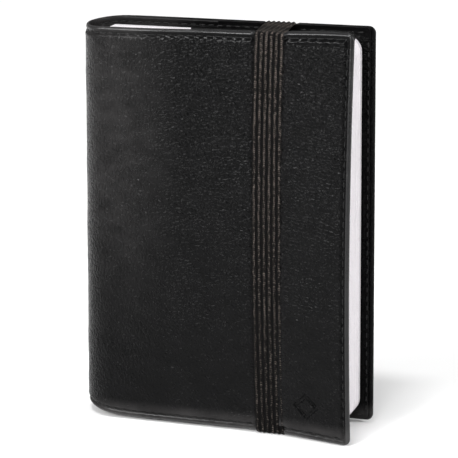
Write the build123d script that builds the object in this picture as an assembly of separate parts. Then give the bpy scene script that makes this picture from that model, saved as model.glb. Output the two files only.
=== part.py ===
from build123d import *
import os
from math import cos, radians, sin

os.makedirs("parts", exist_ok=True)

# Refillable pocket notebook standing on its bottom edge, closed by an elastic band.
# X runs from the spine (-X) to the fore-edge (+X), Y from the front cover (-Y) to the back cover (+Y),
# Z up. The origin is under the middle of the closed notebook, level with its lowest surface.

# Overall size
COVER_WIDTH = 112.0
COVER_HEIGHT = 157.0
CLOSED_DEPTH = 26.0
CORNER_RADIUS = 2.5
EDGE_RADIUS = 0.9

# Layers of one cover, from outside to inside
SKIN = 0.8
BOARD = 1.1
LINING = 0.4
COVER = SKIN + BOARD + LINING
TURN_IN = 2.0
POCKET_GAP = 0.75
FLAP = 0.6
FLAP_RIM = 3.0
FLAP_INSET = 0.8
FRONT_FLAP_WIDTH = 65.0
BACK_FLAP_WIDTH = 61.0

# Soft spine: a half round wall of skin and lining. The angles run about its centre, from +X.
SPINE_WALL = 1.5
SPINE_SKIN = 1.0
HALF_DEPTH = CLOSED_DEPTH / 2
FOLD_ANGLE = 45.0
BACK_ANGLE = 90.0
FRONT_ANGLE = 270.0

# Refill
PAGE_WIDTH = 100.0
PAGE_HEIGHT = 150.0
PAGE_CORNER = 6.0
FORE_EDGE_INSET = 3.8
SECTIONS = 8
SECTION_PITCH = 2.0
SECTION_GAP = 0.04
BOOKLET = 2.2
CARD = 0.5
CARD_MARGIN = 0.7
CARD_SPINE_INSET = 3.0
CARD_OFFSET = 0.1

# Sewing thread
THREAD_INSET = 2.4
THREAD_WIDTH = 0.6
THREAD_DEPTH = 0.4
THREAD_CORNER = 1.5

# Elastic closure
ELASTIC_WIDTH = 12.0
ELASTIC = 0.9
ELASTIC_CLEARANCE = 0.1
ELASTIC_X = 22.5
ELASTIC_CORNER = 1.9
SLOT_INSET = 11.0
SLOT_CLEARANCE = 0.2
TAIL_LENGTH = 9.0

# Debossed mark: a small lozenge outline
MARK_SIZE = 8.0
MARK_LINE = 0.8
MARK_DEPTH = 0.3
MARK_FROM_FORE_EDGE = 18.0
MARK_FROM_BOTTOM = 13.0

# How far cutting blocks reach past the faces they cut, and how near a point counts as touching
OVERRUN = 1.0
TOUCH = 0.01

BOTTOM = ELASTIC + ELASTIC_CLEARANCE
TOP = BOTTOM + COVER_HEIGHT
FORE_EDGE = COVER_WIDTH / 2
SPINE_CENTRE = -FORE_EDGE + HALF_DEPTH
INNER_FACE = HALF_DEPTH - COVER
PAGE_FORE_EDGE = FORE_EDGE - FORE_EDGE_INSET
PAGE_SPINE = PAGE_FORE_EDGE - PAGE_WIDTH
PAGE_BOTTOM = BOTTOM + (COVER_HEIGHT - PAGE_HEIGHT) / 2
PAGE_TOP = PAGE_BOTTOM + PAGE_HEIGHT
BLOCK_DEPTH = SECTIONS * SECTION_PITCH + BOOKLET


def block(x, y, z):
    """A box given by its (low, high) limits along each axis."""
    size = [high - low for low, high in (x, y, z)]
    middle = [(high + low) / 2 for low, high in (x, y, z)]
    return Pos(*middle) * Box(*size)


def plate(x, y, z, corner):
    """A box whose two fore-edge corners are rounded."""
    body = block(x, y, z)
    return fillet(body.edges().filter_by(Axis.Y).group_by(Axis.X)[-1], corner)


def arc_wall(inner, outer, start, end, z):
    """Part of the round spine wall between two angles, counted from +X about the spine's centre."""
    centre = (SPINE_CENTRE, 0)
    rim = [(SPINE_CENTRE + r * cos(radians(a)), r * sin(radians(a)))
           for a in (start, end) for r in (inner, outer)]
    outline = [
        CenterArc(centre, outer, start, end - start),
        CenterArc(centre, inner, start, end - start),
        Line(rim[0], rim[1]),
        Line(rim[2], rim[3]),
    ]
    return Pos(0, 0, z[0]) * extrude(make_face(outline), z[1] - z[0])


def thread_arcs(start, end):
    """The seam's thread along the top and bottom of the round spine."""
    heights = (BOTTOM + THREAD_INSET, TOP - THREAD_INSET)
    return [
        arc_wall(HALF_DEPTH - THREAD_DEPTH, HALF_DEPTH, start, end,
                 (z - THREAD_WIDTH / 2, z + THREAD_WIDTH / 2))
        for z in heights
    ]


def cover_thread():
    """One cover's seam: top, fore-edge and bottom of the flat face, and round to the fold."""
    y = (HALF_DEPTH - THREAD_DEPTH, HALF_DEPTH)
    loops = []
    for inset in (THREAD_INSET - THREAD_WIDTH / 2, THREAD_INSET + THREAD_WIDTH / 2):
        loops.append(plate((SPINE_CENTRE - OVERRUN, FORE_EDGE - inset), y,
                           (BOTTOM + inset, TOP - inset), THREAD_CORNER))
    flat = (loops[0] - loops[1]) & block((SPINE_CENTRE, FORE_EDGE), y, (BOTTOM, TOP))
    top_arc, bottom_arc = thread_arcs(BACK_ANGLE, BACK_ANGLE + FOLD_ANGLE)
    return flat + top_arc + bottom_arc


def on_spine_surface(edge):
    """True for an edge that runs along the round outer surface at the top or bottom."""
    middle = edge @ 0.5
    radius = ((middle.X - SPINE_CENTRE) ** 2 + middle.Y ** 2) ** 0.5
    level = min(abs(middle.Z - BOTTOM), abs(middle.Z - TOP))
    return abs(radius - HALF_DEPTH) < TOUCH and level < TOUCH


def spine_wall(inner, start, end):
    """Full height part of the spine's skin, its outer edges rounded like the covers'."""
    wall = arc_wall(inner, HALF_DEPTH, start, end, (BOTTOM, TOP))
    return fillet(wall.edges().filter_by(on_spine_surface), EDGE_RADIUS)


def cover_skin():
    """Turned and stitched outer skin: a shallow tray for board and lining, and the fold beside it."""
    flat = plate((SPINE_CENTRE, FORE_EDGE), (INNER_FACE, HALF_DEPTH), (BOTTOM, TOP), CORNER_RADIUS)
    face_edges = flat.faces().sort_by(Axis.Y)[-1].edges()
    flat = fillet(face_edges - face_edges.group_by(Axis.X)[0], EDGE_RADIUS)
    fold = spine_wall(HALF_DEPTH - SPINE_WALL, BACK_ANGLE, BACK_ANGLE + FOLD_ANGLE)
    tray = block((SPINE_CENTRE + TURN_IN, FORE_EDGE - TURN_IN), (INNER_FACE - OVERRUN, HALF_DEPTH - SKIN),
                 (BOTTOM + TURN_IN, TOP - TURN_IN))
    return flat + fold - tray - cover_thread()


def cover_layer(outside, thickness):
    """A flat layer that fills the skin's tray, starting at the given depth below the outer face."""
    face = HALF_DEPTH - outside
    return block((SPINE_CENTRE + TURN_IN, FORE_EDGE - TURN_IN), (face - thickness, face),
                 (BOTTOM + TURN_IN, TOP - TURN_IN))


def pocket_flap(width):
    """Inner flap sewn round three sides, open towards the spine, with room for the refill's card."""
    z = (BOTTOM + FLAP_INSET, TOP - FLAP_INSET)
    fore_edge = FORE_EDGE - FLAP_INSET
    face = INNER_FACE - POCKET_GAP - FLAP
    body = plate((fore_edge - width, fore_edge), (face, INNER_FACE), z, CORNER_RADIUS)
    pocket = block((fore_edge - width - OVERRUN, fore_edge - FLAP_RIM), (face + FLAP, INNER_FACE + OVERRUN),
                   (z[0] + FLAP_RIM, z[1] - FLAP_RIM))
    return body - pocket


def refill_card():
    """The refill's card board, which slips into a pocket flap."""
    face = INNER_FACE - CARD_OFFSET
    return plate((PAGE_SPINE + CARD_SPINE_INSET, PAGE_FORE_EDGE - CARD_MARGIN), (face - CARD, face),
                 (PAGE_BOTTOM + CARD_MARGIN, PAGE_TOP - CARD_MARGIN), PAGE_CORNER)


def leaves(front, back):
    """A stack of leaves between two depths, with round fore-edge corners."""
    return plate((PAGE_SPINE, PAGE_FORE_EDGE), (front, back), (PAGE_BOTTOM, PAGE_TOP), PAGE_CORNER)


def elastic_x(clearance=0.0):
    """The band's limits across the cover, widened by a clearance on both sides."""
    half = ELASTIC_WIDTH / 2 + clearance
    return (ELASTIC_X - half, ELASTIC_X + half)


def elastic_ring(outset):
    """The band's outline in the Y-Z plane, grown by the outset from the covers' outer faces."""
    depth = CLOSED_DEPTH + 2 * outset
    height = COVER_HEIGHT + 2 * outset
    corner = ELASTIC_CORNER - (ELASTIC + ELASTIC_CLEARANCE) + outset
    outline = Plane.YZ * RectangleRounded(depth, height, corner)
    low, high = elastic_x()
    return Pos(low, 0, (BOTTOM + TOP) / 2) * extrude(outline, high - low)


def elastic_band():
    """Woven band round the covers, whose two ends go through slots into the back cover."""
    ring = elastic_ring(ELASTIC_CLEARANCE + ELASTIC) - elastic_ring(ELASTIC_CLEARANCE)
    low, high = BOTTOM + SLOT_INSET, TOP - SLOT_INSET
    band_face = HALF_DEPTH + ELASTIC_CLEARANCE + ELASTIC
    band = ring - block(elastic_x(OVERRUN), (INNER_FACE, band_face + OVERRUN), (low, high))
    tail_face = HALF_DEPTH - SKIN - ELASTIC_CLEARANCE
    under_skin = (tail_face - ELASTIC, tail_face)
    through = (under_skin[0], band_face)
    band += block(elastic_x(), through, (low, low + ELASTIC))
    band += block(elastic_x(), through, (high - ELASTIC, high))
    band += block(elastic_x(), under_skin, (low, low + TAIL_LENGTH))
    band += block(elastic_x(), under_skin, (high - TAIL_LENGTH, high))
    return band


def elastic_windows():
    """Room in the back cover for the band's two ends, through the skin and in the board."""
    face = HALF_DEPTH - SKIN
    windows = []
    for low, high, slot in (
        (BOTTOM + SLOT_INSET, BOTTOM + SLOT_INSET + TAIL_LENGTH, BOTTOM + SLOT_INSET),
        (TOP - SLOT_INSET - TAIL_LENGTH, TOP - SLOT_INSET, TOP - SLOT_INSET - ELASTIC),
    ):
        windows.append(block(elastic_x(SLOT_CLEARANCE), (face - BOARD, face),
                             (low - SLOT_CLEARANCE, high + SLOT_CLEARANCE)))
        windows.append(block(elastic_x(SLOT_CLEARANCE), (face, HALF_DEPTH + OVERRUN),
                             (slot - SLOT_CLEARANCE, slot + ELASTIC + SLOT_CLEARANCE)))
    return windows


def deboss():
    """Lozenge outline pressed into the lower fore-edge corner of the front."""
    inner_size = MARK_SIZE - 2 * MARK_LINE
    outline = Rectangle(MARK_SIZE, MARK_SIZE) - Rectangle(inner_size, inner_size)
    place = Plane(origin=(FORE_EDGE - MARK_FROM_FORE_EDGE, -HALF_DEPTH, BOTTOM + MARK_FROM_BOTTOM),
                  x_dir=(1, 0, 1), z_dir=(0, -1, 0))
    return extrude(place * outline, -MARK_DEPTH)


def to_front(shape):
    """Turn a back cover piece into the front cover's by mirroring it in the X-Z plane."""
    return mirror(shape, about=Plane.XZ)


parts = {}

# Back cover
parts["back_cover_skin"] = cover_skin()
parts["back_cover_board"] = cover_layer(SKIN, BOARD)
for window in elastic_windows():
    parts["back_cover_skin"] -= window
    parts["back_cover_board"] -= window
parts["back_cover_lining"] = cover_layer(SKIN + BOARD, LINING)
parts["back_pocket_flap"] = pocket_flap(BACK_FLAP_WIDTH)
parts["back_cover_stitching"] = cover_thread()

# Front cover
parts["front_cover_skin"] = to_front(cover_skin()) - deboss()
parts["front_cover_board"] = to_front(cover_layer(SKIN, BOARD))
parts["front_cover_lining"] = to_front(cover_layer(SKIN + BOARD, LINING))
parts["front_pocket_flap"] = to_front(pocket_flap(FRONT_FLAP_WIDTH))
parts["front_cover_stitching"] = to_front(cover_thread())

# Spine between the two folds
fold_start = BACK_ANGLE + FOLD_ANGLE
fold_end = FRONT_ANGLE - FOLD_ANGLE
spine_threads = thread_arcs(fold_start, fold_end)
spine_skin = spine_wall(HALF_DEPTH - SPINE_SKIN, fold_start, fold_end)
for thread in spine_threads:
    spine_skin -= thread
parts["spine_skin"] = spine_skin
parts["spine_lining"] = arc_wall(HALF_DEPTH - SPINE_WALL, HALF_DEPTH - SPINE_SKIN, fold_start, fold_end,
                                 (BOTTOM, TOP))
parts["spine_stitching"] = Compound(children=spine_threads)

# Refill
parts["refill_back_card"] = refill_card()
parts["refill_front_card"] = to_front(refill_card())
for number in range(1, SECTIONS + 1):
    section_front = -BLOCK_DEPTH / 2 + (number - 1) * SECTION_PITCH
    parts[f"page_section_{number}"] = leaves(section_front, section_front + SECTION_PITCH - SECTION_GAP)
parts["address_booklet"] = leaves(BLOCK_DEPTH / 2 - BOOKLET, BLOCK_DEPTH / 2)

# Closure
parts["elastic_band"] = elastic_band()

for name, shape in parts.items():
    export_step(shape, f"parts/{name}.step")
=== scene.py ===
import math
import random

import bmesh
import bpy
import numpy as np
from mathutils import Matrix, Vector, noise


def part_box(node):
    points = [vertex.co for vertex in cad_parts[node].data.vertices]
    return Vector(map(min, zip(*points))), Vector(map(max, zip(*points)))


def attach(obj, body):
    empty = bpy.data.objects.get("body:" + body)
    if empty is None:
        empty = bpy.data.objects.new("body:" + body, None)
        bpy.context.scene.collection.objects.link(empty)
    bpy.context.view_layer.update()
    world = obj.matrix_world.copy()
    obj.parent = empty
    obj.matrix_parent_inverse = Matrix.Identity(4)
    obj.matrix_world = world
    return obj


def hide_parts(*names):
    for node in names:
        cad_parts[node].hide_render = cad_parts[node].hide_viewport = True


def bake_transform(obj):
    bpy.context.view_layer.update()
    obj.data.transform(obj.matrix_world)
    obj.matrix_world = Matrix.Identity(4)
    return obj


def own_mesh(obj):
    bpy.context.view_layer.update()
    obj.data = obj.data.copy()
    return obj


# The notebook's looks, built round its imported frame. Lengths are in metres, and MM is one millimetre.
# X runs from the spine to the fore-edge, Y from the front cover to the back cover, Z up.

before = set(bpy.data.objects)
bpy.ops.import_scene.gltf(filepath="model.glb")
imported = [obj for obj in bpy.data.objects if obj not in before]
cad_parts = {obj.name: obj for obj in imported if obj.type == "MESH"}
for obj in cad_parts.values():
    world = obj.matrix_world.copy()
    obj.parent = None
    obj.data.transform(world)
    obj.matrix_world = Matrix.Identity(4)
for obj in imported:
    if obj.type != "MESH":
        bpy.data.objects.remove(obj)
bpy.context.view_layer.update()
MM = 0.001

# Sizes read from the frame
SKIN_LOW, SKIN_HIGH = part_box("back_cover_skin")
SPINE_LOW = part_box("spine_skin")[0]
FLAP_LOW, FLAP_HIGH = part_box("back_pocket_flap")
FRONT_FLAP_LOW, FRONT_FLAP_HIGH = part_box("front_pocket_flap")
BAND_LOW, BAND_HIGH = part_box("elastic_band")
BOTTOM, TOP = SKIN_LOW.z, SKIN_HIGH.z
HEIGHT = TOP - BOTTOM
FORE_EDGE = SKIN_HIGH.x
HALF_DEPTH = SKIN_HIGH.y
SPINE_CENTRE = SPINE_LOW.x + HALF_DEPTH
FLAT = FORE_EDGE - SPINE_CENTRE
BAND_X = (BAND_LOW.x + BAND_HIGH.x) / 2
BAND_WIDTH = BAND_HIGH.x - BAND_LOW.x

# Covers: thickness, each one's quarter of the round spine, corners, and the rounded edges' turned leather
COVER = 2.3 * MM
SPINE_WALL = 1.5 * MM
SPINE_RADIUS = HALF_DEPTH - SPINE_WALL / 2
ARC_LENGTH = SPINE_RADIUS * math.pi / 2
CORNER = 2.8 * MM
EDGE_ROUND = 1.25 * MM
EDGE_STRIP = 1.5 * MM
COVER_STEP = 0.62 * MM

# What lies inside a cover. The flap is sewn down near its edges and lifted by the card further in. The front
# flap's top edge also stands up, by the puff and a share of the bulge.
LINING = 0.22 * MM
LINING_LIFT = 0.02 * MM
LINING_CORNER = 1 * MM
LINING_INSET = 6 * MM
LINING_FROM_SPINE = 3 * MM
CARD = 0.45 * MM
CARD_LIFT = 0.1 * MM
CARD_CORNER = 6 * MM
FLAP = 0.6 * MM
FLAP_INSET = 0.8 * MM
FLAP_SEWN = 2.8 * MM
FLAP_FREE = 6.5 * MM
FLAP_LIFT = 0.03 * MM
CARD_LIFTS = 0.69 * MM
FLAP_SAG = 0.12 * MM
FLAP_STAYS = 0.8
FLAP_PUFF = 1.2 * MM

# Seam: its stitches, how far their middles lie over the leather and over the cover's inner face, and the
# groove that they pull into the inner face and into the flap
SEAM_INSET = 2.4 * MM
STITCH_PITCH = 3.7 * MM
STITCH_LENGTH = 2.7 * MM
STITCH_RISE = 0.10 * MM
INNER_STITCH_RISE = 0.12 * MM
THREAD_RADIUS = 0.27 * MM
THREAD_FLATNESS = 0.8
GROOVE_DEPTH = 0.15 * MM
FLAP_GROOVE = 0.14 * MM
GROOVE_WIDTH = 0.5 * MM

# Elastic band: its ribs, the stitches along each rib, how far its upper end leans towards the spine, and how
# deep it presses into the covers' faces and their top edges
RIBS = 6
RIB_HEIGHT = 0.42 * MM
BAND = 0.8 * MM
BAND_SKEW = 3.2 * MM
BAND_PRESS = 0.4 * MM
BAND_DENT = 0.55 * MM
BAND_SINK = 0.05 * MM
SLOT_DEPTH = 11 * MM
KNIT_PITCH = 0.85 * MM
KNIT_STAGGER = 0.37
KNIT_SLANT = 1.3
BAND_STEP = 0.45 * MM

# Debossed lozenge in the front cover's lower fore-edge corner
MARK_X = FORE_EDGE - 18 * MM
MARK_Z = BOTTOM + 13.5 * MM
MARK_HALF = 4.4 * MM
MARK_LINE = 0.9 * MM
MARK_DEPTH = 0.6 * MM


def smooth(value, low=0.0, high=1.0):
    """0 below low, 1 above high, and a smooth step between."""
    t = np.clip((np.asarray(value, float) - low) / (high - low), 0, 1)
    return t * t * (3 - 2 * t)


def noise_at(x, y, z, seed):
    """Smooth noise from -1 to 1 at arrays of points, the same on every run."""
    flat = np.stack(np.broadcast_arrays(x, y, z), -1).reshape(-1, 3)
    values = [noise.noise(Vector((p[0] + seed, p[1], p[2]))) for p in flat]
    return np.array(values).reshape(np.broadcast(x, y, z).shape)


# ---------------------------------------------------------------- shape of the soft covers

# The front cover bulges forward near its top, flares at its fore-edge's two ends and domes in between
TOP_BULGE = 4.4 * MM
TOP_BULGE_X = -33 * MM
TOP_BULGE_WIDTH = 27 * MM
FLARE_START = 20 * MM
TOP_FLARE = 2.8 * MM
BOTTOM_FLARE = 6.5 * MM
DOME = 4.2 * MM
DOME_START = -47 * MM
DOME_FULL = 20 * MM

# The front cover's fore-edge is a little tall, the spine's ends sag and its foot is the fuller one
TOP_RISE = 1.5 * MM
BOTTOM_DROP = 0.77 * MM
SPINE_SAG_TOP = 0.8 * MM
SPINE_SAG_BOTTOM = 3.0 * MM
SPINE_SAG_WIDTH = 15 * MM
SPINE_LEAN = 0.095
SPINE_FULLNESS = 0.02
BACK_REACH = 0.9 * MM


def front_bulge(x, z):
    """How far the soft front cover stands forward of its flat rest plane."""
    down = np.clip((TOP - z) / HEIGHT, 0, 1)
    out = np.clip((x - FLARE_START) / (FORE_EDGE - FLARE_START), 0, 1)
    top = TOP_BULGE * np.exp(-(((x - TOP_BULGE_X) / TOP_BULGE_WIDTH) ** 2)) + TOP_FLARE * out ** 2
    low = BOTTOM_FLARE * out ** 1.2
    dome = DOME * smooth(x, DOME_START, DOME_FULL)
    return (1 - down) * top + down * low + dome * 4 * down * (1 - down)


def under_band(x, z, sign):
    """1 under the band and 0 beside it. On the back it has moved towards the spine at its upper end."""
    middle = BAND_X - BAND_SKEW * smooth(z, BOTTOM, TOP) if sign > 0 else BAND_X
    return smooth(np.abs(x - middle), BAND_WIDTH / 2 + 1.2 * MM, BAND_WIDTH / 2 - 0.8 * MM)


def end_shift(s, z, sign):
    """Vertical shift: the spine's ends sag, the front fore-edge is tall, and the band dents the top."""
    level = np.clip((z - BOTTOM) / HEIGHT * 2 - 1, -1, 1)
    depth = SPINE_SAG_BOTTOM + (SPINE_SAG_TOP - SPINE_SAG_BOTTOM) * smooth(level, -1, 1)
    sag = depth * np.exp(-(((s - FLAT - ARC_LENGTH) / SPINE_SAG_WIDTH) ** 2))
    shift = -sag * level ** 3
    if sign < 0:
        out = smooth(-s, 10 * MM - FORE_EDGE, 0)
        shift = shift + out * (TOP_RISE * smooth(level, 0, 1) - BOTTOM_DROP * smooth(-level, 0, 1))
    return shift - BAND_DENT * under_band(FORE_EDGE - s, z, sign) * smooth(level, 0.86, 0.98)


def round_corners(x, z, radius, fore_edge, bottom, top):
    """Moves points of a rectangular grid so that its two fore-edge corners are round."""
    px = (x - (fore_edge - radius)) / radius
    for sign, level in ((1, top), (-1, bottom)):
        pz = sign * (z - (level - sign * radius)) / radius
        inside = (px > 0) & (pz > 0)
        new_x = fore_edge - radius + radius * px * np.sqrt(np.clip(1 - pz * pz / 2, 0, 1))
        new_z = level - sign * radius + sign * radius * pz * np.sqrt(np.clip(1 - px * px / 2, 0, 1))
        x, z = np.where(inside, new_x, x), np.where(inside, new_z, z)
    return x, z


def corner_distance(x, z, radius, fore_edge, bottom, top):
    """Distance from the edge of a panel with two round corners."""
    d = np.minimum(np.minimum(fore_edge - x, top - z), z - bottom)
    px = x - (fore_edge - radius)
    for sign, level in ((1, top), (-1, bottom)):
        pz = sign * (z - (level - sign * radius))
        d = np.where((px > 0) & (pz > 0), radius - np.hypot(px, pz), d)
    return np.clip(d, 0, None)


# Height of the outer face over the plain cover at distances from the edge: lip, stitched groove and pillow
SEAM_PLACES = np.array([0, 1.4, 1.85, 2.2, 2.5, 3.35, 3.9, 5.2, 9.0]) * MM
SEAM_HEIGHTS = np.array([0, 0.06, -0.34, -0.46, -0.44, 0.32, 0.40, 0.30, 0.38]) * MM
PUCKER = 0.43 * MM

# Soft unevenness of the padded faces: size along the cover and upwards, height and seed
WIDE_LUMPS = (17 * MM, 12 * MM, 0.16 * MM, 3.1)
FINE_LUMPS = (5 * MM, 2.6 * MM, 0.05 * MM, 11.7)


def stitch_wave(along):
    """1 in the middle of a stitch and 0 at its two holes."""
    return np.abs(np.sin(math.pi * along / STITCH_PITCH))


def lumps(s, z, sign, kind):
    """Height of one kind of unevenness."""
    width, height, depth, seed = kind
    return depth * noise_at(s / width, 0, z / height, seed + sign)


def relief(s, x, z, d, sign):
    """Height of the outer surface over the plain cover: groove, puckered seam, padding and unevenness."""
    along = np.where(FORE_EDGE - x < np.minimum(TOP - z, z - BOTTOM), z - BOTTOM, s)
    near_seam = smooth(d, 1.2 * MM, SEAM_INSET) * smooth(d, 6 * MM, 3.6 * MM)
    pulled = PUCKER * (0.5 - stitch_wave(along)) * near_seam
    height = np.interp(d + pulled, SEAM_PLACES, SEAM_HEIGHTS)
    uneven = lumps(s, z, sign, WIDE_LUMPS) + lumps(s, z, sign, FINE_LUMPS)
    return height + smooth(d, 3 * MM, 12 * MM) * uneven


def pressed_by_band(x, z, sign):
    """The band's slight dent: all along the front, and only at the band's ends on the back."""
    across = under_band(x, z, sign)
    if sign > 0:
        across = across * smooth(np.minimum(TOP - z, z - BOTTOM), SLOT_DEPTH + 5 * MM, SLOT_DEPTH - 1 * MM)
    return BAND_PRESS * across


def mark_dent(x, z):
    """The debossed lozenge outline."""
    ring = np.abs(np.abs(x - MARK_X) + np.abs(z - MARK_Z) - MARK_HALF) / math.sqrt(2)
    return MARK_DEPTH * smooth(ring, MARK_LINE, MARK_LINE * 0.35)


def cover_wall(s):
    """Thickness of the wall at a distance along the cover from its fore-edge."""
    return COVER + (SPINE_WALL - COVER) * smooth(s, FLAT - 6 * MM, FLAT + 3 * MM)


def cover_point(s, z, sign, side, height=0.0):
    """Points of a cover's wall. side is 1 for the outer face and -1 for the inner one."""
    s, z = np.asarray(s, float), np.asarray(z, float)
    middle = HALF_DEPTH - cover_wall(s) / 2
    turn = np.clip((s - FLAT) / SPINE_RADIUS, 0, math.pi / 2)
    radius = middle + side * height
    level = (z - BOTTOM) / HEIGHT * 2 - 1
    fullness = 1 + SPINE_FULLNESS - SPINE_LEAN * level
    x = np.where(s > FLAT, SPINE_CENTRE - radius * fullness * np.sin(turn), FORE_EDGE - s)
    if sign > 0:
        x = x + BACK_REACH * smooth(x, 0, FORE_EDGE)
    y = sign * np.where(s > FLAT, radius * np.cos(turn), radius)
    if sign < 0:
        y = y - front_bulge(np.maximum(x, SPINE_CENTRE), z) * np.cos(turn) ** 2
    return np.stack([x, y, z + end_shift(s, z, sign)], -1)


# Grid lines lie at these distances from a border, and evenly beyond them. Lines that nearly touch are one.
NEAR_BORDER = [0.08, 0.22, 0.42, 0.7, 1.05, 1.5, 1.9, 2.2, 2.45, 2.75, 3.1, 3.5, 4.0, 4.6]
BORDER_ZONE = 5 * MM
TOUCHING = 0.05 * MM


def spaced(low, high, step, borders=(), fine=()):
    """Grid lines from low to high, closer near the named borders and inside the fine spans."""
    marks = {low, high}
    for border in borders:
        inward = 1 if border == low else -1
        marks.update(border + inward * offset * MM for offset in NEAR_BORDER)
    guard_low = low + (BORDER_ZONE if low in borders else step)
    guard_high = high - (BORDER_ZONE if high in borders else step)
    marks.update(np.linspace(guard_low, guard_high, max(2, round((guard_high - guard_low) / step))))
    for start, end, fine_step in fine:
        marks.update(np.arange(start, end, fine_step))
    ordered = sorted(marks)
    kept = [ordered[0]]
    for value in ordered[1:]:
        if value - kept[-1] > TOUCHING:
            kept.append(value)
    kept[-1] = high
    return np.array(kept)


# ---------------------------------------------------------------- mesh helpers

def new_object(name, verts, faces, material, shade=True):
    """A mesh piece with its double points joined and its faces turned outwards."""
    mesh = bpy.data.meshes.new(name)
    mesh.from_pydata([tuple(v) for v in verts], [], faces)
    mesh.update()
    obj = bpy.data.objects.new(name, mesh)
    bpy.context.scene.collection.objects.link(obj)
    mesh.materials.append(material)
    tidy = bmesh.new()
    tidy.from_mesh(mesh)
    bmesh.ops.remove_doubles(tidy, verts=tidy.verts, dist=1e-6)
    bmesh.ops.recalc_face_normals(tidy, faces=tidy.faces)
    tidy.to_mesh(mesh)
    tidy.free()
    for polygon in mesh.polygons:
        polygon.use_smooth = shade
    return obj


def grid_faces(rows, columns, start=0, flip=False):
    """The quads of a grid of points."""
    faces = []
    for i in range(rows - 1):
        for j in range(columns - 1):
            a = start + i * columns + j
            quad = (a, a + 1, a + columns + 1, a + columns)
            faces.append(quad[::-1] if flip else quad)
    return faces


def shell(name, outer, inner, material, inner_material=None, edge_material=None, on_edge=None):
    """A closed thin piece between two grids of points. Its inner side and its edges may look different."""
    rows, columns = outer.shape[:2]
    count = rows * columns
    verts = np.concatenate([outer.reshape(-1, 3), inner.reshape(-1, 3)])
    faces = grid_faces(rows, columns) + grid_faces(rows, columns, count, True)
    rim = [(i, 0) for i in range(rows)] + [(rows - 1, j) for j in range(1, columns)]
    rim += [(i, columns - 1) for i in range(rows - 2, -1, -1)] + [(0, j) for j in range(columns - 2, 0, -1)]
    loop = [i * columns + j for i, j in rim]
    for a, b in zip(loop, loop[1:] + loop[:1]):
        faces.append((a, b, b + count, a + count))
    obj = new_object(name, verts, faces, material)
    if inner_material is None:
        return obj
    obj.data.materials.append(inner_material)
    obj.data.materials.append(edge_material)
    side = (rows - 1) * (columns - 1)
    for polygon, near_edge in zip(obj.data.polygons[:side], on_edge.reshape(-1)):
        polygon.material_index = 2 if near_edge else 0
    for polygon in obj.data.polygons[side:2 * side]:
        polygon.material_index = 1
    for polygon in obj.data.polygons[2 * side:]:
        polygon.material_index = 2
    return obj


def capsules(name, frames, length, radius, flatten, material, rings=7, sides=8):
    """Many small rounded threads. Each frame is (centre, direction, normal)."""
    verts, faces = [], []
    for centre, along, up in frames:
        along, up = Vector(along).normalized(), Vector(up).normalized()
        across = along.cross(up).normalized()
        start = len(verts)
        for i in range(rings):
            t = -1 + 2 * i / (rings - 1)
            bulk = math.sqrt(max(0.0, 1 - abs(t) ** 3.5)) * radius + 1e-6
            dip = -0.55 * radius * t ** 4
            for j in range(sides):
                angle = 2 * math.pi * j / sides + 1.1 * t
                offset = across * math.cos(angle) * bulk * 1.15
                offset += up * (math.sin(angle) * bulk * flatten + dip)
                verts.append(Vector(centre) + along * t * length / 2 + offset)
        for i in range(rings - 1):
            for j in range(sides):
                a, b = start + i * sides + j, start + i * sides + (j + 1) % sides
                faces.append((a, b, b + sides, a + sides))
        faces.append(tuple(start + j for j in range(sides)))
        faces.append(tuple(start + (rings - 1) * sides + j for j in reversed(range(sides))))
    return new_object(name, verts, faces, material)


# ---------------------------------------------------------------- materials

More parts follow.
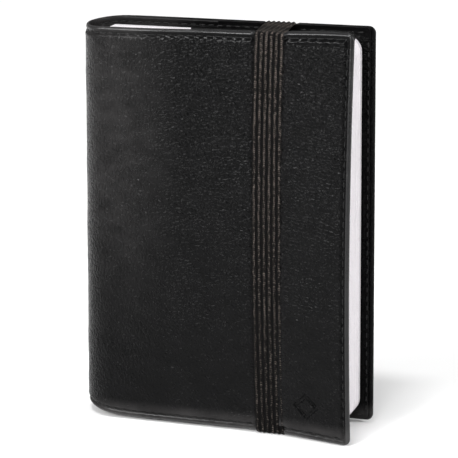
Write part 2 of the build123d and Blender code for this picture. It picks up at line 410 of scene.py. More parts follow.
class Nodes:
    """Small helper that adds and links shader nodes. Texture sizes are in millimetres."""

    def __init__(self, name, color, roughness, specular):
        self.material = bpy.data.materials.new(name)
        self.material.use_nodes = True
        self.tree = self.material.node_tree
        self.shader = self.tree.nodes["Principled BSDF"]
        self.shader.inputs["Base Color"].default_value = (*color, 1)
        self.shader.inputs["Roughness"].default_value = roughness
        self.shader.inputs["Specular IOR Level"].default_value = specular
        self.coords = self.add("ShaderNodeTexCoord").outputs["Object"]

    def add(self, kind, links=None, **values):
        node = self.tree.nodes.new(kind)
        for key, value in values.items():
            if hasattr(node, key):
                setattr(node, key, value)
            else:
                node.inputs[key.replace("_", " ").title()].default_value = value
        for key, output in (links or {}).items():
            self.tree.links.new(output, node.inputs[key])
        return node

    def link(self, output, socket):
        self.tree.links.new(output, self.shader.inputs[socket])

    def split(self, vector):
        """The vector's X, Y and Z."""
        return self.add("ShaderNodeSeparateXYZ", {"Vector": vector}).outputs

    def scaled(self, size):
        """Object coordinates, in units of the given size along each axis."""
        node = self.add("ShaderNodeMapping", {"Vector": self.coords})
        node.inputs["Scale"].default_value = [1 / (value * MM) for value in size]
        return node.outputs["Vector"]

    def warped(self, vector, amount, scale):
        """The vector with a little noise added, so that cells don't look regular."""
        wobble = self.add("ShaderNodeTexNoise", {"Vector": vector}, scale=scale, detail=2.0)
        centred = self.add("ShaderNodeVectorMath", {0: wobble.outputs["Color"]}, operation="SUBTRACT")
        centred.inputs[1].default_value = (0.5, 0.5, 0.5)
        sized = self.add("ShaderNodeVectorMath", {0: centred.outputs[0]}, operation="SCALE")
        sized.inputs["Scale"].default_value = amount
        return self.add("ShaderNodeVectorMath", {0: vector, 1: sized.outputs[0]}, operation="ADD").outputs[0]

    def noise(self, size, detail=2.0):
        node = self.add("ShaderNodeTexNoise", {"Vector": self.scaled(size)}, scale=1.0, detail=detail)
        return node.outputs["Fac"]

    def wave(self, size, direction):
        place = self.scaled((size, size, size))
        node = self.add("ShaderNodeTexWave", {"Vector": place}, bands_direction=direction, scale=1.0)
        return node.outputs["Fac"]

    def math(self, operation, a, b=None):
        node = self.tree.nodes.new("ShaderNodeMath")
        node.operation = operation
        for index, value in enumerate((a, b)):
            if value is None:
                continue
            if isinstance(value, (int, float)):
                node.inputs[index].default_value = value
            else:
                self.tree.links.new(value, node.inputs[index])
        return node.outputs[0]

    def product(self, result, *factors):
        for factor in factors:
            result = self.math("MULTIPLY", result, factor)
        return result

    def total(self, result, *terms):
        for term in terms:
            result = self.math("ADD", result, term)
        return result

    def fade(self, value, start, end, low=0.0, high=1.0, kind="SMOOTHSTEP"):
        """low where the value is at start, high where it is at end, and a smooth step between."""
        node = self.add("ShaderNodeMapRange", {"Value": value}, interpolation_type=kind)
        node.inputs["From Min"].default_value = start
        node.inputs["From Max"].default_value = end
        node.inputs["To Min"].default_value = low
        node.inputs["To Max"].default_value = high
        return node.outputs["Result"]

    def ramp(self, factor, stops):
        node = self.add("ShaderNodeValToRGB", {"Fac": factor})
        elements = node.color_ramp.elements
        while len(elements) < len(stops):
            elements.new(0.5)
        for element, (position, color) in zip(elements, stops):
            element.position = position
            element.color = (*color, 1) if hasattr(color, "__len__") else (color, color, color, 1)
        return node.outputs["Color"]

    def toward(self, amount, tint, color):
        """The tint, mixed with a plain color by the amount."""
        node = self.add("ShaderNodeMixRGB", {"Fac": amount, "Color1": tint})
        node.inputs["Color2"].default_value = (*color, 1)
        return node.outputs[0]

    def bump(self, height, distance, strength=1.0, previous=None):
        node = self.add("ShaderNodeBump", {"Height": height})
        node.inputs["Distance"].default_value = distance
        node.inputs["Strength"].default_value = strength
        if previous is not None:
            self.tree.links.new(previous, node.inputs["Normal"])
        return node.outputs["Normal"]


# Leather: its black, the grey of its painted floor reflection and painted sheen, and its pebbles, each with a
# size along X, Y and Z, a waviness and the width of the dip between two of them
BLACK = 0.0022
PAINTED_SHEEN_GREY = (0.045, 0.043, 0.043)
FINE_PEBBLES = ((1.2, 1.2, 1.0), 0.6, 0.40)
LYING_PEBBLES = ((2.1, 2.1, 1.4), 0.7, 0.32)
UPRIGHT_PEBBLES = ((1.4, 1.4, 2.4), 0.7, 0.32)
UPRIGHT_STRENGTH = 1.6
GRAIN_DEPTH = 0.23 * MM
FINE_DEPTH = 0.09 * MM
SOFT_DEPTH = 0.10 * MM


def pebbles(n, size, waviness, dip):
    """Small domes with dips between them."""
    space = n.warped(n.scaled(size), waviness, 0.9)
    cells = n.add("ShaderNodeTexVoronoi", {"Vector": space}, feature="DISTANCE_TO_EDGE", scale=1.0)
    return n.fade(cells.outputs["Distance"], 0, dip)


def leather_grain(n, x, z, strength):
    """Pebbles, upright by the spine and lying down elsewhere, and weaker on the hems and towards the foot."""
    patches = n.fade(n.noise((34, 34, 26)), 0.36, 0.58, 0.55, 1, "LINEAR")
    fine, lying, upright = (pebbles(n, *kind) for kind in (FINE_PEBBLES, LYING_PEBBLES, UPRIGHT_PEBBLES))
    by_spine = n.fade(x, SPINE_CENTRE + 30 * MM, SPINE_CENTRE + 8 * MM)
    turned = n.product(by_spine, n.math("SUBTRACT", n.product(upright, UPRIGHT_STRENGTH), lying))
    broad = n.product(n.total(lying, turned), patches)
    from_middle = n.math("ABSOLUTE", n.math("SUBTRACT", z, (TOP + BOTTOM) / 2))
    seam = HEIGHT / 2 - SEAM_INSET
    hem = n.fade(from_middle, seam - 2.6 * MM, seam - 1.1 * MM, 1, 0.15)
    higher = n.fade(z, BOTTOM + 15 * MM, TOP - 40 * MM, 0.5, 1)
    first = n.bump(n.product(fine, hem), FINE_DEPTH, 0.9 * strength)
    second = n.bump(n.product(n.noise((1.0, 1.0, 0.7), 3.0), hem), SOFT_DEPTH, 0.5 * strength, first)
    return n.bump(n.product(broad, hem, higher), GRAIN_DEPTH, strength, second)


def leather_material(name, shade=1.0, rough=0.0, gleam=0.078, grain=1.0):
    """Black imitation leather with a pebbled grain and blotchy tone, greyer along its foot with a painted
    reflection and high up by the spine with a painted sheen. shade scales the black: below 1 it paints shade,
    above 1 it paints light.
    """
    tone = BLACK * shade
    n = Nodes(name, (tone, tone, tone * 1.06), 0.35, gleam)
    x, _, z = n.split(n.coords)
    n.link(leather_grain(n, x, z, grain), "Normal")
    blotches = n.noise((9, 9, 6), 5.0)
    base = n.ramp(blotches, [
        (0.3, (tone * 0.75, tone * 0.75, tone * 0.80)),
        (0.7, (tone * 1.35, tone * 1.33, tone * 1.42)),
    ])
    # Painted reflection of the floor along the foot and painted sheen high up by the spine: the base colour
    # turns grey there, in blotches
    foot = n.fade(z, BOTTOM + 8 * MM, BOTTOM + 3 * MM, 0, 0.8)
    by_spine = n.fade(x, SPINE_CENTRE + 34 * MM, SPINE_CENTRE + 2 * MM)
    higher = n.fade(z, BOTTOM + 20 * MM, TOP - 30 * MM)
    painted_reflection_and_sheen = n.total(foot, n.product(by_spine, higher, 0.65))
    n.link(n.toward(n.product(painted_reflection_and_sheen, blotches), base, PAINTED_SHEEN_GREY), "Base Color")
    n.link(n.ramp(blotches, [(0.3, 0.17 + rough), (0.72, 0.27 + rough)]), "Roughness")
    return n.material


def thread_material(name):
    """Waxed black thread with a fine twist."""
    n = Nodes(name, (0.012, 0.012, 0.013), 0.38, 0.2)
    twist = n.wave(0.5, "DIAGONAL")
    n.link(n.bump(twist, 0.06 * MM, 0.7), "Normal")
    n.link(n.ramp(twist, [(0.2, 0.004), (0.8, 0.013)]), "Base Color")
    return n.material


def elastic_material(name):
    """Ribbed elastic: chevron stitches run up each rib; the colour follows their height, with painted
    highlights on the crowns, painted shade in the gaps between the ribs, and painted shade towards its foot.
    """
    n = Nodes(name, (0.014, 0.0115, 0.0105), 0.6, 0.08)
    x, y, z = n.split(n.warped(n.coords, 0.3 * MM, 900.0))
    rib = n.math("DIVIDE", n.math("SUBTRACT", x, BAND_X - BAND_WIDTH / 2), BAND_WIDTH / RIBS)
    off_middle = n.math("ABSOLUTE", n.math("SUBTRACT", n.math("FRACT", rib), 0.5))
    along = n.math("DIVIDE", n.total(z, y), KNIT_PITCH)
    slanted = n.total(along, n.product(n.math("FLOOR", rib), KNIT_STAGGER), n.product(off_middle, KNIT_SLANT))
    stitch = n.total(n.product(n.math("SINE", n.product(slanted, 2 * math.pi)), 0.5), 0.5)
    crown = n.math("SUBTRACT", 1.0, n.math("POWER", n.product(off_middle, 2.0), 2.0))
    knit = n.product(crown, n.total(n.product(stitch, 0.8), 0.2))
    fibres = n.product(n.noise((0.6, 0.6, 0.8), 3.0), 1.3)
    patchiness = n.product(n.noise((0.9, 0.9, 1.7), 4.0), 0.9)
    # Painted shade: the band is darker towards its foot
    painted_shade_below = n.fade(z, BOTTOM, TOP, -1.21, -1.07, "LINEAR")
    height = n.total(knit, fibres, patchiness, painted_shade_below)
    n.link(n.bump(height, 0.22 * MM, 0.9), "Normal")
    # Colour from height: painted shade in the gaps and painted highlights on the stitches' crowns, made
    # patchy by the noise
    n.link(n.ramp(height, [
        (0.15, (0.0010, 0.0008, 0.0008)),
        (0.50, (0.0020, 0.0017, 0.0015)),
        (0.80, (0.0095, 0.0080, 0.0071)),
        (1.0, (0.155, 0.131, 0.116)),
    ]), "Base Color")
    return n.material


# A leaf's face that looks up or down more steeply than this is a cut end, darkened with painted shade for the
# gaps between the leaves there
CUT_END_SLOPE = 0.8
CUT_END_PAINTED_SHADE = 0.5


def paper_material(name, tint, line_pitch, ink):
    """Uncoated paper: faint fibres, pale ruled lines inside the leaves' margins, and cut ends darkened with
    painted shade.
    """
    n = Nodes(name, tint, 0.78, 0.25)
    fibres = n.noise((0.9, 0.9, 0.9), 5.0)
    n.link(n.bump(fibres, 0.03 * MM, 0.5), "Normal")
    tone = n.ramp(fibres, [
        (0.35, [value * 0.955 for value in tint]),
        (0.65, [value * 1.02 for value in tint]),
    ])
    x, _, z = n.split(n.coords)
    phase = n.math("FRACT", n.math("DIVIDE", z, line_pitch))
    on_line = n.math("LESS_THAN", n.math("ABSOLUTE", n.math("SUBTRACT", phase, 0.5)), 0.03)
    inside = n.math("LESS_THAN", x, FORE_EDGE - 12 * MM)
    below_top = n.math("LESS_THAN", z, TOP - 14 * MM)
    above_foot = n.math("GREATER_THAN", z, BOTTOM + 11 * MM)
    ruled = n.toward(n.product(on_line, inside, below_top, above_foot, 0.55), tone, ink)
    # Painted shade on the cut ends at the top and foot
    facing = n.split(n.add("ShaderNodeNewGeometry").outputs["Normal"])
    cut_end = n.math("GREATER_THAN", n.math("ABSOLUTE", facing["Z"]), CUT_END_SLOPE)
    n.link(n.toward(n.product(cut_end, CUT_END_PAINTED_SHADE), ruled, (0, 0, 0)), "Base Color")
    return n.material


def card_material(name, tint):
    """Plain smooth card with a faint mottle."""
    n = Nodes(name, tint, 0.6, 0.3)
    mottle = n.noise((3, 3, 3), 6.0)
    n.link(n.ramp(mottle, [(0.3, [value * 0.93 for value in tint]), (0.7, tint)]), "Base Color")
    n.link(n.bump(mottle, 0.02 * MM, 0.5), "Normal")
    return n.material


def lining_material(name):
    """Black bonded lining with a fine plain weave."""
    n = Nodes(name, (0.012, 0.012, 0.014), 0.7, 0.3)
    weave = n.product(n.wave(0.18, "X"), n.wave(0.18, "Z"))
    n.link(n.bump(weave, 0.05 * MM, 0.6), "Normal")
    n.link(n.ramp(weave, [(0.1, (0.007, 0.007, 0.009)), (0.8, (0.019, 0.019, 0.022))]), "Base Color")
    return n.material


leather = leather_material("leatherette")
# Darker copy for the covers' inner faces and the flaps: its lower shade is painted shade for the shade inside
# the covers
painted_shade_inner_leather = leather_material("inner_leatherette", shade=0.6, rough=0.1, gleam=0.06)
# Copy for the covers' edges: glossier, as the edges' own finish, and with a doubled black that is painted
# light
painted_light_edge_leather = leather_material("edge_leatherette", shade=2.0, rough=0.08, gleam=0.34, grain=0.35)
thread = thread_material("seam_thread")
elastic = elastic_material("woven_elastic")
paper = paper_material("page_paper", (0.76, 0.735, 0.755), 6.5 * MM, (0.42, 0.45, 0.52))
booklet_paper = paper_material("booklet_paper", (0.60, 0.58, 0.60), 5.0 * MM, (0.35, 0.36, 0.42))
card = card_material("refill_card", (0.58, 0.56, 0.56))
lining = lining_material("lining_cloth")

# ---------------------------------------------------------------- covers

# The two covers are told apart by their sign: 1 for the back one and -1 for the front one
SIDE_NAME = {1: "back", -1: "front"}


def bend_with_cover(piece, sign):
    """Bakes the piece's transform into its points, alike for either cover."""
    if sign > 0:
        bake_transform(piece)
    else:
        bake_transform(piece)


def inner_groove(d, depth=GROOVE_DEPTH):
    """Depth to which the seam pulls the inner side in, at a distance from the cover's edge."""
    return depth * np.exp(-(((d - SEAM_INSET) / GROOVE_WIDTH) ** 2))


def cover_surface(s, z, sign, side):
    """Points of a cover's finished outer or inner face, with its round corners, edges and relief."""
    x, zr = round_corners(FORE_EDGE - s, z, CORNER, FORE_EDGE, BOTTOM, TOP)
    sr = np.where(s < FLAT, FORE_EDGE - x, s)
    flat_x = np.where(s < FLAT, x, SPINE_CENTRE)
    d = corner_distance(flat_x, zr, CORNER, FORE_EDGE, BOTTOM, TOP)
    half = cover_wall(sr) / 2
    rounding = np.sqrt(np.clip(1 - (1 - np.clip(d / EDGE_ROUND, 0, 1)) ** 2.3, 0, 1))
    height = half * rounding
    if side > 0:
        extra = relief(sr, flat_x, zr, d, sign)
        extra = extra - np.where(s < FLAT, pressed_by_band(flat_x, zr, sign), 0)
        if sign < 0:
            extra = extra - np.where(s < FLAT, mark_dent(flat_x, zr), 0)
        height = height + extra * smooth(d, 0, 0.9 * MM)
    else:
        height = height - inner_groove(d)
    return cover_point(sr, zr, sign, side, height)


def around(place, reach, step):
    """A span of fine grid lines on both sides of a place."""
    return place - reach, place + reach, step


def make_cover(sign):
    """Leather wall of one cover and half of the spine."""
    name = SIDE_NAME[sign]
    fine_s = [around(FORE_EDGE - x, 2 * MM, 0.4 * MM) for x in (BAND_HIGH.x, BAND_LOW.x)]
    fine_z = []
    if sign < 0:
        fine_s.append(around(FORE_EDGE - MARK_X, 6 * MM, 0.3 * MM))
        fine_z.append(around(MARK_Z, 6 * MM, 0.3 * MM))
    s_lines = spaced(0.0, FLAT + ARC_LENGTH, COVER_STEP, borders=(0.0,), fine=fine_s)
    z_lines = spaced(BOTTOM, TOP, COVER_STEP, borders=(BOTTOM, TOP), fine=fine_z)
    s, z = np.meshgrid(s_lines, z_lines, indexing="ij")
    outer = cover_surface(s, z, sign, 1)
    inner = cover_surface(s, z, sign, -1)
    middle_s = (s_lines[1:] + s_lines[:-1]) / 2
    middle_z = (z_lines[1:] + z_lines[:-1]) / 2
    level = np.minimum(TOP - middle_z, middle_z - BOTTOM)
    on_edge = (middle_s[:, None] < EDGE_STRIP) | (level[None, :] < EDGE_ROUND)
    piece = shell(f"{name}_leather", outer, inner, leather, painted_shade_inner_leather, painted_light_edge_leather, on_edge)
    if sign > 0:
        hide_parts("back_cover_skin", "back_cover_board", "spine_skin", "spine_lining")
    else:
        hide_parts("front_cover_skin", "front_cover_board")
    bend_with_cover(piece, sign)


def panel(name, x_limits, z_limits, sign, lift, thickness, corner, material, step=1.6 * MM):
    """A thin sheet on a cover's inner side. lift gives its height over the inner face."""
    x_lines = spaced(x_limits[0], x_limits[1], step, borders=x_limits)
    z_lines = spaced(z_limits[0], z_limits[1], step, borders=z_limits)
    x, z = np.meshgrid(x_lines, z_lines, indexing="ij")
    x, z = round_corners(x, z, corner, x_limits[1], z_limits[0], z_limits[1])
    d = corner_distance(x, z, corner, x_limits[1], z_limits[0], z_limits[1])
    free = x - x_limits[0]
    rim = np.sqrt(np.clip(1 - (1 - np.clip(np.minimum(d, free) / (thickness * 0.6), 0, 1)) ** 2, 0, 1))
    base = HALF_DEPTH - COVER - lift(d, free, z)
    bulge = front_bulge(np.maximum(x, SPINE_CENTRE), z) if sign < 0 else 0
    faces = []
    for offset in (0.5 - 0.5 * rim, 0.5 + 0.5 * rim):
        y = sign * (base - offset * thickness) - bulge
        faces.append(np.stack([x, y, z + end_shift(FORE_EDGE - x, z, sign)], -1))
    return shell(name, faces[0], faces[1], material)


def make_lining(sign):
    """Lining sheet inside one cover."""
    name = SIDE_NAME[sign]
    x_limits = (SPINE_CENTRE + LINING_FROM_SPINE, FORE_EDGE - LINING_INSET)
    z_limits = (BOTTOM + LINING_INSET, TOP - LINING_INSET)
    piece = panel(f"{name}_lining", x_limits, z_limits, sign,
                  lambda d, free, z: LINING_LIFT, LINING, LINING_CORNER, lining)
    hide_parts(f"{name}_cover_lining")
    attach(piece, f"{name}_cover")


def make_flap(sign):
    """Pocket flap: sewn down round three sides, lifted over the card, its free edge towards the spine."""
    name = SIDE_NAME[sign]
    low, high = (FLAP_LOW, FLAP_HIGH) if sign > 0 else (FRONT_FLAP_LOW, FRONT_FLAP_HIGH)
    top = TOP - 0.1 * MM

    def lift(d, free, z):
        lifted = smooth(d, FLAP_SEWN, FLAP_FREE)
        sag = FLAP_SAG * np.sin(math.pi * (z - low.z) / (high.z - low.z))
        groove = inner_groove(d + FLAP_INSET, FLAP_GROOVE)
        puff = 0
        if sign < 0:
            spread = (front_bulge(low.x + free, z) - front_bulge(BAND_X, z)).clip(0, None)
            puff = (FLAP_PUFF + FLAP_STAYS * spread) * smooth(z, top - 5 * MM, top - 1 * MM)
        return FLAP_LIFT + (CARD_LIFTS - sag) * lifted - groove + puff

    piece = panel(f"{name}_flap", (low.x, high.x), (low.z, top), sign, lift, FLAP, CORNER - 0.5 * MM,
                  painted_shade_inner_leather)
    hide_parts(f"{name}_pocket_flap")
    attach(piece, f"{name}_cover")
    return low.x


def make_card(sign):
    """The refill's card, in the pocket."""
    node = f"refill_{SIDE_NAME[sign]}_card"
    low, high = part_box(node)
    piece = panel(f"{SIDE_NAME[sign]}_card", (low.x, high.x), (low.z, high.z), sign,
                  lambda d, free, z: CARD_LIFT, CARD, CARD_CORNER, card, 4 * MM)
    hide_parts(node)
    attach(piece, f"{SIDE_NAME[sign]}_cover")


def seam_places():
    """(s, z, direction) of every stitch of a cover's seam, along its two ends and up its fore-edge."""
    places = []
    start = math.ceil((SEAM_INSET + 1.2 * MM) / STITCH_PITCH)
    count = int((FLAT + ARC_LENGTH) / STITCH_PITCH)
    for z in (BOTTOM + SEAM_INSET, TOP - SEAM_INSET):
        for k in range(start, count):
            places.append(((k + 0.5) * STITCH_PITCH, z, "along"))
    for k in range(1, int(HEIGHT / STITCH_PITCH) - 1):
        z = BOTTOM + (k + 0.5) * STITCH_PITCH
        if z < TOP - SEAM_INSET - STITCH_LENGTH / 2:
            places.append((SEAM_INSET, z, "up"))
    return places


def surface_frame(s, z, way, sign, side, rise):
    """Centre, direction and normal for a stitch lying on a cover's outer (1) or inner (-1) face."""
    step = 0.2 * MM
    ds, dz = (step, 0) if way == "along" else (0, step)
    grid_s = np.array([s - ds, s + ds, s])
    grid_z = np.array([z - dz, z + dz, z])
    points = cover_surface(grid_s, grid_z, sign, side)
    along = points[1] - points[0]
    other = (0, 0, 1) if way == "along" else (1, 0, 0)
    normal = np.cross(along, other)
    normal = normal / np.linalg.norm(normal)
    turn = max(0.0, (s - FLAT) / SPINE_RADIUS)
    outward = np.array([-math.sin(turn), sign * math.cos(turn), 0]) * side
    if normal @ outward < 0:
        normal = -normal
    return points[2] + normal * rise, along, normal


def make_stitches(sign, flap_edge):
    """The seam's stitches, on the outer face and on the inner one, where they lie on the flap."""
    shake = random.Random(7 + sign)
    name = SIDE_NAME[sign]
    outer, inner = [], []
    for s, z, way in seam_places():
        lean = shake.uniform(-0.05, 0.05)
        centre, along, normal = surface_frame(s, z, way, sign, 1, STITCH_RISE)
        other = Vector(along).cross(Vector(normal)).normalized()
        outer.append((centre, Vector(along).normalized() + other * lean, normal))
        under = INNER_STITCH_RISE if FORE_EDGE - s < flap_edge else FLAP + STITCH_RISE
        centre, along, normal = surface_frame(s, z, way, sign, -1, under)
        inner.append((centre, Vector(along).normalized() - other * lean, normal))
    for label, frames in (("stitches", outer), ("inner_stitches", inner)):
        piece = capsules(f"{name}_{label}", frames, STITCH_LENGTH, THREAD_RADIUS, THREAD_FLATNESS, thread)
        if label == "stitches":
            nodes = ["back_cover_stitching", "spine_stitching"] if sign > 0 else ["front_cover_stitching"]
            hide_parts(*nodes)
        bend_with_cover(piece, sign)


for side_sign in (1, -1):
    make_cover(side_sign)
    make_lining(side_sign)
    free_edge = make_flap(side_sign)
    make_card(side_sign)
    make_stitches(side_sign, free_edge)


# ---------------------------------------------------------------- leaves

# A leaf with the gap behind it, the paper's share of that, its corner, and how unevenly leaves are cut
LEAF = 0.083 * MM
PAPER_SHARE = 0.80
LEAF_CORNER = 6 * MM
CUT_UNEVEN = 0.22 * MM
LAID_UNEVEN = 0.08 * MM

# The strip of glue that holds a section's leaves, and how far it ends from theirs
GLUE = 0.8 * MM
GLUE_INSET = 0.1 * MM


def leaf_outline(low, high, corner, corner_steps=6):
    """Outline of one leaf in X and Z, with round fore-edge corners."""
    points = [(low.x, low.z)]
    for centre_z, start in ((low.z + corner, -90), (high.z - corner, 0)):
        for step in range(corner_steps + 1):
            angle = math.radians(start + 90 * step / corner_steps)
            points.append((high.x - corner + corner * math.cos(angle), centre_z + corner * math.sin(angle)))
    points.append((low.x, high.z))
    return points


def make_leaves(node, material, seed, name):
    """A section's leaves: thin sheets with slightly uneven fore-edges, glued into one back at the spine."""
    low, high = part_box(node)
    shake = random.Random(seed)
    count = max(2, round((high.y - low.y) / LEAF))
    pitch = (high.y - low.y) / count
    outline = leaf_outline(low, high, LEAF_CORNER)
    verts, faces = [], []
    for k in range(count):
        inset = shake.uniform(0, CUT_UNEVEN)
        drop = shake.uniform(-LAID_UNEVEN, LAID_UNEVEN)
        start = len(verts)
        near = low.y + k * pitch
        for y in (near, near + pitch * PAPER_SHARE):
            for x, z in outline:
                pulled = x - inset if x > low.x + GLUE else x
                verts.append((pulled, y, z + (drop if 0 < k < count - 1 else 0)))
        size = len(outline)
        faces.append(tuple(start + i for i in range(size)))
        faces.append(tuple(start + size + i for i in reversed(range(size))))
        for i in range(size):
            j = (i + 1) % size
            faces.append((start + i, start + j, start + size + j, start + size + i))
    glue = len(verts)
    for x in (low.x, low.x + GLUE):
        for y in (low.y, high.y):
            for z in (low.z + GLUE_INSET, high.z - GLUE_INSET):
                verts.append((x, y, z))
    box_faces = ((0, 1, 3, 2), (4, 6, 7, 5), (0, 4, 5, 1), (2, 3, 7, 6), (0, 2, 6, 4), (1, 5, 7, 3))
    faces += [tuple(glue + i for i in quad) for quad in box_faces]
    piece = new_object(name, verts, faces, material, shade=False)
    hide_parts(node)
    return piece


SECTIONS = sum(name.startswith("page_section_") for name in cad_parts)
for number in range(1, SECTIONS + 1):
    section = make_leaves(f"page_section_{number}", paper, 40 + number, f"leaves_{number}")
    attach(section, f"section_{number}")
booklet = make_leaves("address_booklet", booklet_paper, 90, "booklet_leaves")
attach(booklet, "back_cover")


# ---------------------------------------------------------------- elastic band

# The band's gap behind the back cover, how far its slots' middles lie past the slot depth, and the number of
# points of its straight stretches
BACK_GAP = 0.12 * MM
SLOT_HALF = 0.3 * MM
TAIL_POINTS = 6
END_POINTS = 9
FRONT_POINTS = 90


def band_tail(back, end, slot, up):
    """Y and Z of the band's tail on the back, from its slot to the cover's end. up is 1 for the upper one."""
    start = slot + up * 0.5 * MM
    points = [(back - 1.3 * MM, slot), (back - 0.5 * MM, slot), (back - 0.05 * MM, start)]
    points += [(back, start + up * t * (SLOT_DEPTH - 2.2 * MM)) for t in np.linspace(0.1, 1, TAIL_POINTS)]
    return points + [(back - 0.25 * MM, end - up * 0.35 * MM), (back - 1.0 * MM, end + up * 0.08 * MM)]


def band_turn(back, front, end, shift, up):
    """The band's run over one end of the covers, from the back to the front, where it is shifted."""
    places = np.linspace(back - 2.5 * MM, front + 1.6 * MM, END_POINTS)
    flat = zip(places, np.linspace(0, 1, END_POINTS))
    points = [(y, end + up * 0.10 * MM + t * shift) for y, t in flat]
    points.append((front + 0.6 * MM, end + up * 0.05 * MM + shift))
    return points + [(front - 0.1 * MM, end - up * 0.5 * MM + shift)]


def band_front(z):
    """Y of the band's inner face on the front cover, a little sunk into the padding near its ends."""
    edge = np.minimum(z - BOTTOM, TOP - z)
    sunk = np.minimum(BAND_PRESS - SEAM_HEIGHTS[-1] * smooth(edge, 2.6 * MM, 9 * MM), BAND_SINK) - 0.02 * MM
    return sunk - HALF_DEPTH - front_bulge(BAND_X, z)


def band_route():
    """The band's inner face in Y and Z, from its lower slot over the front to its upper one."""
    back = HALF_DEPTH + BACK_GAP
    crest = TOP - BAND_DENT
    low_slot = BOTTOM + SLOT_DEPTH + SLOT_HALF
    high_slot = TOP - SLOT_DEPTH - SLOT_HALF
    low_front, high_front = (-HALF_DEPTH - float(front_bulge(BAND_X, z)) for z in (BOTTOM, TOP))
    drop = float(end_shift(FORE_EDGE - BAND_X, BOTTOM, -1))
    points = band_tail(back, BOTTOM, low_slot, -1) + band_turn(back, low_front, BOTTOM, drop, -1)
    heights = np.linspace(BOTTOM + 1.5 * MM, crest - 1.5 * MM, FRONT_POINTS)
    points += [(float(band_front(z)), z) for z in heights]
    points += band_turn(back, high_front, crest, -BAND_SINK, 1)[::-1]
    points += band_tail(back, crest, high_slot, 1)[::-1]
    return np.array(points)


def resample(points, step):
    """The line through the points in even steps, a little smoothed, and its length."""
    lengths = np.concatenate([[0], np.cumsum(np.hypot(*np.diff(points, axis=0).T))])
    places = np.linspace(0, lengths[-1], int(lengths[-1] / step))
    line = np.stack([np.interp(places, lengths, points[:, k]) for k in (0, 1)], -1)
    for _ in range(2):
        line[1:-1] = (line[:-2] + 2 * line[1:-1] + line[2:]) / 4
    return line, lengths[-1]


def make_band():
    """The ribbed elastic strap, swept along its route."""
    line, length = resample(band_route(), BAND_STEP)
    tangent = np.gradient(line, axis=0)
    tangent = tangent / np.linalg.norm(tangent, axis=1)[:, None]
    normal = np.stack([-tangent[:, 1], tangent[:, 0]], -1)
    foremost = np.argmin(line[:, 0])
    if normal[foremost, 0] > 0:
        normal = -normal
    across = np.linspace(-1, 1, RIBS * 8 + 1)
    shake = noise_at(np.arange(len(line)) * 0.09, 0, 0, 5.0)
    upper = line[:, 1] > (BOTTOM + TOP) / 2
    skew = BAND_SKEW * np.where(upper, smooth(line[:, 0], -HALF_DEPTH - TOP_BULGE, HALF_DEPTH), 0)
    rib = np.abs(np.cos(math.pi * (across + 1) / 2 * RIBS)) ** 1.5
    rib_relief = RIB_HEIGHT * (1 - rib)
    edge = np.sqrt(np.clip(1 - np.abs(across) ** 14, 0, 1))
    outer = np.zeros((len(line), len(across), 3))
    inner = np.zeros_like(outer)
    for j, a in enumerate(across):
        x = BAND_X - skew + a * BAND_WIDTH / 2 + shake * 0.10 * MM
        knit = 0.035 * MM * np.sin(np.arange(len(line)) * 2.1 + (a * RIBS * 3))
        top = (BAND - RIB_HEIGHT + rib_relief[j] + knit) * edge[j]
        low = 0.06 * MM * (1 - edge[j])
        outer[:, j] = np.column_stack([x, line + normal * top[:, None]])
        inner[:, j] = np.column_stack([x, line + normal * low])
    piece = shell("elastic_strap", outer, inner, elastic)
    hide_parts("elastic_band")
    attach(piece, "elastic")
    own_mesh(piece)


make_band()


# ---------------------------------------------------------------- stage, light and camera

LIGHTS_AWAY = 3.0
LIGHT_TARGET = (0, 0, 0.08)
HIGH_TARGET = (0, 0, 0.12)
FLOOR_SIZE = 60.0


def make_floor(size):
    """A pale floor with a very faint mottle."""
    n = Nodes("pale_floor", (0.92, 0.92, 0.93), 0.6, 0.2)
    n.link(n.ramp(n.noise((500, 500, 500)), [(0.3, 0.91), (0.7, 0.93)]), "Base Color")
    mesh = bpy.data.meshes.new("floor")
    half = size / 2
    corners = [(-half, -half, 0), (half, -half, 0), (half, half, 0), (-half, half, 0)]
    mesh.from_pydata(corners, [], [(0, 1, 2, 3)])
    mesh.materials.append(n.material)
    floor = bpy.data.objects.new("floor", mesh)
    bpy.context.scene.collection.objects.link(floor)


def area_light(name, place, target, size, power):
    """A soft box, given by its place, size and power close by, and moved out so that it lights the same."""
    place, target = Vector(place) * LIGHTS_AWAY, Vector(target)
    size, power = (size[0] * LIGHTS_AWAY, size[1] * LIGHTS_AWAY), power * LIGHTS_AWAY ** 2
    data = bpy.data.lights.new(name, "AREA")
    data.shape = "RECTANGLE"
    data.size, data.size_y = size
    data.energy = power
    obj = bpy.data.objects.new(name, data)
    obj.location = place
    obj.rotation_mode = "QUATERNION"
    obj.rotation_quaternion = (target - place).to_track_quat("-Z", "Y")
    bpy.context.scene.collection.objects.link(obj)


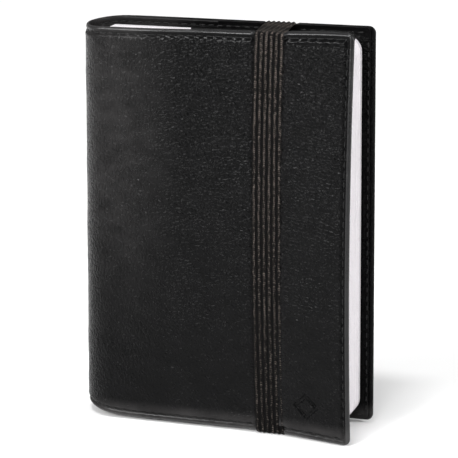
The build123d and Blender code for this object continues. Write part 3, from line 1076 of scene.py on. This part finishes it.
def studio_world(horizon, zenith):
    """A pale sky, brighter overhead than round the horizon."""
    world = bpy.data.worlds.new("studio")
    world.use_nodes = True
    nodes, links = world.node_tree.nodes, world.node_tree.links
    place = nodes.new("ShaderNodeTexCoord")
    split = nodes.new("ShaderNodeSeparateXYZ")
    links.new(place.outputs["Generated"], split.inputs[0])
    rise = nodes.new("ShaderNodeMapRange")
    rise.inputs["To Min"].default_value = horizon
    rise.inputs["To Max"].default_value = zenith
    links.new(split.outputs["Z"], rise.inputs["Value"])
    links.new(rise.outputs["Result"], nodes["Background"].inputs["Strength"])
    nodes["Background"].inputs["Color"].default_value = (1.0, 1.0, 1.0, 1)
    bpy.context.scene.world = world


make_floor(FLOOR_SIZE)
studio_world(0.13, 0.58)
bpy.context.scene.view_settings.view_transform = "Standard"
area_light("key", (-0.45, -1.10, 0.70), LIGHT_TARGET, (0.46, 0.36), 15)
area_light("high_front", (0.0, -0.45, 1.25), HIGH_TARGET, (0.24, 0.13), 7)
area_light("low_left", (-0.95, -0.95, 0.45), LIGHT_TARGET, (0.3, 0.3), 5)
area_light("right_side", (1.10, -0.15, 0.55), LIGHT_TARGET, (0.3, 0.5), 12.5)

CAMERA_AZIMUTH = math.radians(18.67)
CAMERA_ELEVATION = math.radians(14.23)
CAMERA_ROLL = math.radians(-0.445)
CAMERA_DISTANCE = 0.932
CAMERA_LENS = 188.2
CAMERA_SENSOR = 36
CAMERA_SLIDE = Vector((1.43 * MM, -1.93 * MM))
CAMERA_TARGET = Vector((0, 0, (BOTTOM + TOP) / 2))


def make_camera():
    """Looks at the notebook's middle from the given angles, slid aside and rolled a little."""
    a, e, r = CAMERA_AZIMUTH, CAMERA_ELEVATION, CAMERA_ROLL
    back = Vector((math.sin(a) * math.cos(e), -math.cos(a) * math.cos(e), math.sin(e)))
    right = Vector((math.cos(a), math.sin(a), 0))
    up = back.cross(right)
    turned_right = right * math.cos(r) + up * math.sin(r)
    turned_up = up * math.cos(r) - right * math.sin(r)
    place = CAMERA_TARGET + back * CAMERA_DISTANCE + right * CAMERA_SLIDE.x + up * CAMERA_SLIDE.y
    data = bpy.data.cameras.new("camera")
    data.lens = CAMERA_LENS
    data.sensor_width = CAMERA_SENSOR
    obj = bpy.data.objects.new("camera", data)
    axes = Matrix((turned_right, turned_up, back)).transposed().to_4x4()
    obj.matrix_world = Matrix.Translation(place) @ axes
    bpy.context.scene.collection.objects.link(obj)
    bpy.context.scene.camera = obj


make_camera()
